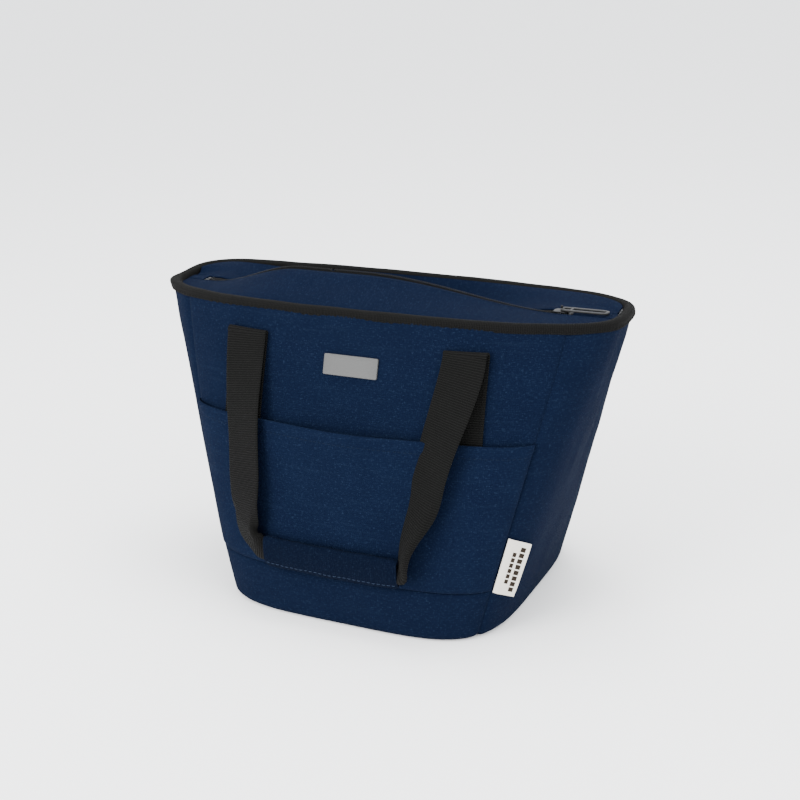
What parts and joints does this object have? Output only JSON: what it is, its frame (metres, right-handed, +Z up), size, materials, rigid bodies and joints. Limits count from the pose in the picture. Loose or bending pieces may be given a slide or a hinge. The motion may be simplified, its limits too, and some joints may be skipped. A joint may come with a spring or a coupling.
{
  "type": "insulated cooler bag",
  "caption": "Soft insulated cooler tote: flared canvas body over foam and lining, bound rim, zipped top flaps, front pocket, webbing handles with wrapped grips, badge and side label.",
  "frame": {"origin": "middle of the base, on the surface the bag stands on", "axes": "+X to the right seen from the front, along the zip; +Y towards the back; +Z up"},
  "size_m": [0.3424, 0.204, 0.2255],
  "materials": {
    "canvas": "matt heathered navy canvas weave",
    "webbing": "black ribbed webbing",
    "binding": "black woven binding tape",
    "foam": "closed-cell foam, matt",
    "lining": "silver-grey film lining, soft sheen",
    "board": "matt stiffening board",
    "zip_teeth": "black moulded teeth, satin",
    "zip_tape": "black woven tape",
    "zip_metal": "dark nickel, satin",
    "badge": "satin grey metal",
    "label": "undyed cotton, matt"
  },
  "bodies": {
    "bag": {"back_panel": "canvas", "badge_plate": "badge", "base_board": "board", "base_panel": "canvas", "foam_back": "foam", "foam_base": "foam", "foam_front": "foam", "foam_left": "foam", "foam_right": "foam", "front_anchor_left": "webbing", "front_anchor_right": "webbing", "front_lower_band": "canvas", "front_panel": "canvas", "front_pocket": "canvas", "left_gusset": "canvas", "lining": "lining", "pocket_hem": "canvas", "rear_anchor_left": "webbing", "rear_anchor_right": "webbing", "right_gusset": "canvas", "rim_binding": "binding", "side_label": "label", "zip_bottom_stop": "zip_metal", "zip_tab_left": "canvas", "zip_tab_right": "canvas", "zip_top_stop_front": "zip_metal", "zip_top_stop_rear": "zip_metal"},
    "front_flap_body": {"front_flap": "canvas", "front_flap_lining": "lining", "front_zip_tape": "zip_tape", "front_zip_teeth": "zip_teeth"},
    "rear_flap_body": {"rear_flap": "canvas", "rear_flap_lining": "lining", "rear_zip_tape": "zip_tape", "rear_zip_teeth": "zip_teeth"},
    "front_handle": {"front_grip_wrap": "canvas", "front_handle_webbing": "webbing"},
    "rear_handle": {"rear_grip_wrap": "canvas", "rear_handle_webbing": "webbing"},
    "slider": {"slider_body": "zip_metal", "slider_bail": "zip_metal"},
    "puller": {"zip_puller": "zip_metal"}
  },
  "joints": [
    {"name": "front_handle_hinge", "type": "hinge", "parent": "bag", "child": "front_handle", "pos_m": [0, -0.05824, 0.191], "axis": [-1, 0, 0], "range_deg": [0, 170]},
    {"name": "rear_handle_hinge", "type": "hinge", "parent": "bag", "child": "rear_handle", "pos_m": [0, 0.05824, 0.191], "axis": [1, 0, 0], "range_deg": [0, 170]},
    {"name": "zip_slide", "type": "slide", "parent": "bag", "child": "slider", "axis": [-1, 0, 0], "range_m": [0, 0.266]},
    {"name": "puller_hinge", "type": "hinge", "parent": "slider", "child": "puller", "pos_m": [0.1255, 0, 0.21065], "axis": [0, -1, 0], "range_deg": [0, 160]},
    {"name": "front_flap_hinge", "type": "hinge", "parent": "bag", "child": "front_flap_body", "pos_m": [0, -0.0438, 0.207], "axis": [-1, 0, 0], "range_deg": [0, 24], "deforming": ["front_flap", "front_flap_lining", "front_zip_tape", "front_zip_teeth"]},
    {"name": "rear_flap_hinge", "type": "hinge", "parent": "bag", "child": "rear_flap_body", "pos_m": [0, 0.0438, 0.207], "axis": [-1, 0, 0], "range_deg": [0, 55], "deforming": ["rear_flap", "rear_flap_lining", "rear_zip_tape", "rear_zip_teeth"]}
  ],
  "couplings": [
    {"joint": "front_flap_hinge", "follows": "zip_slide", "rad_per_m": 1.5747},
    {"joint": "rear_flap_hinge", "follows": "zip_slide", "rad_per_m": 3.6087}
  ]
}
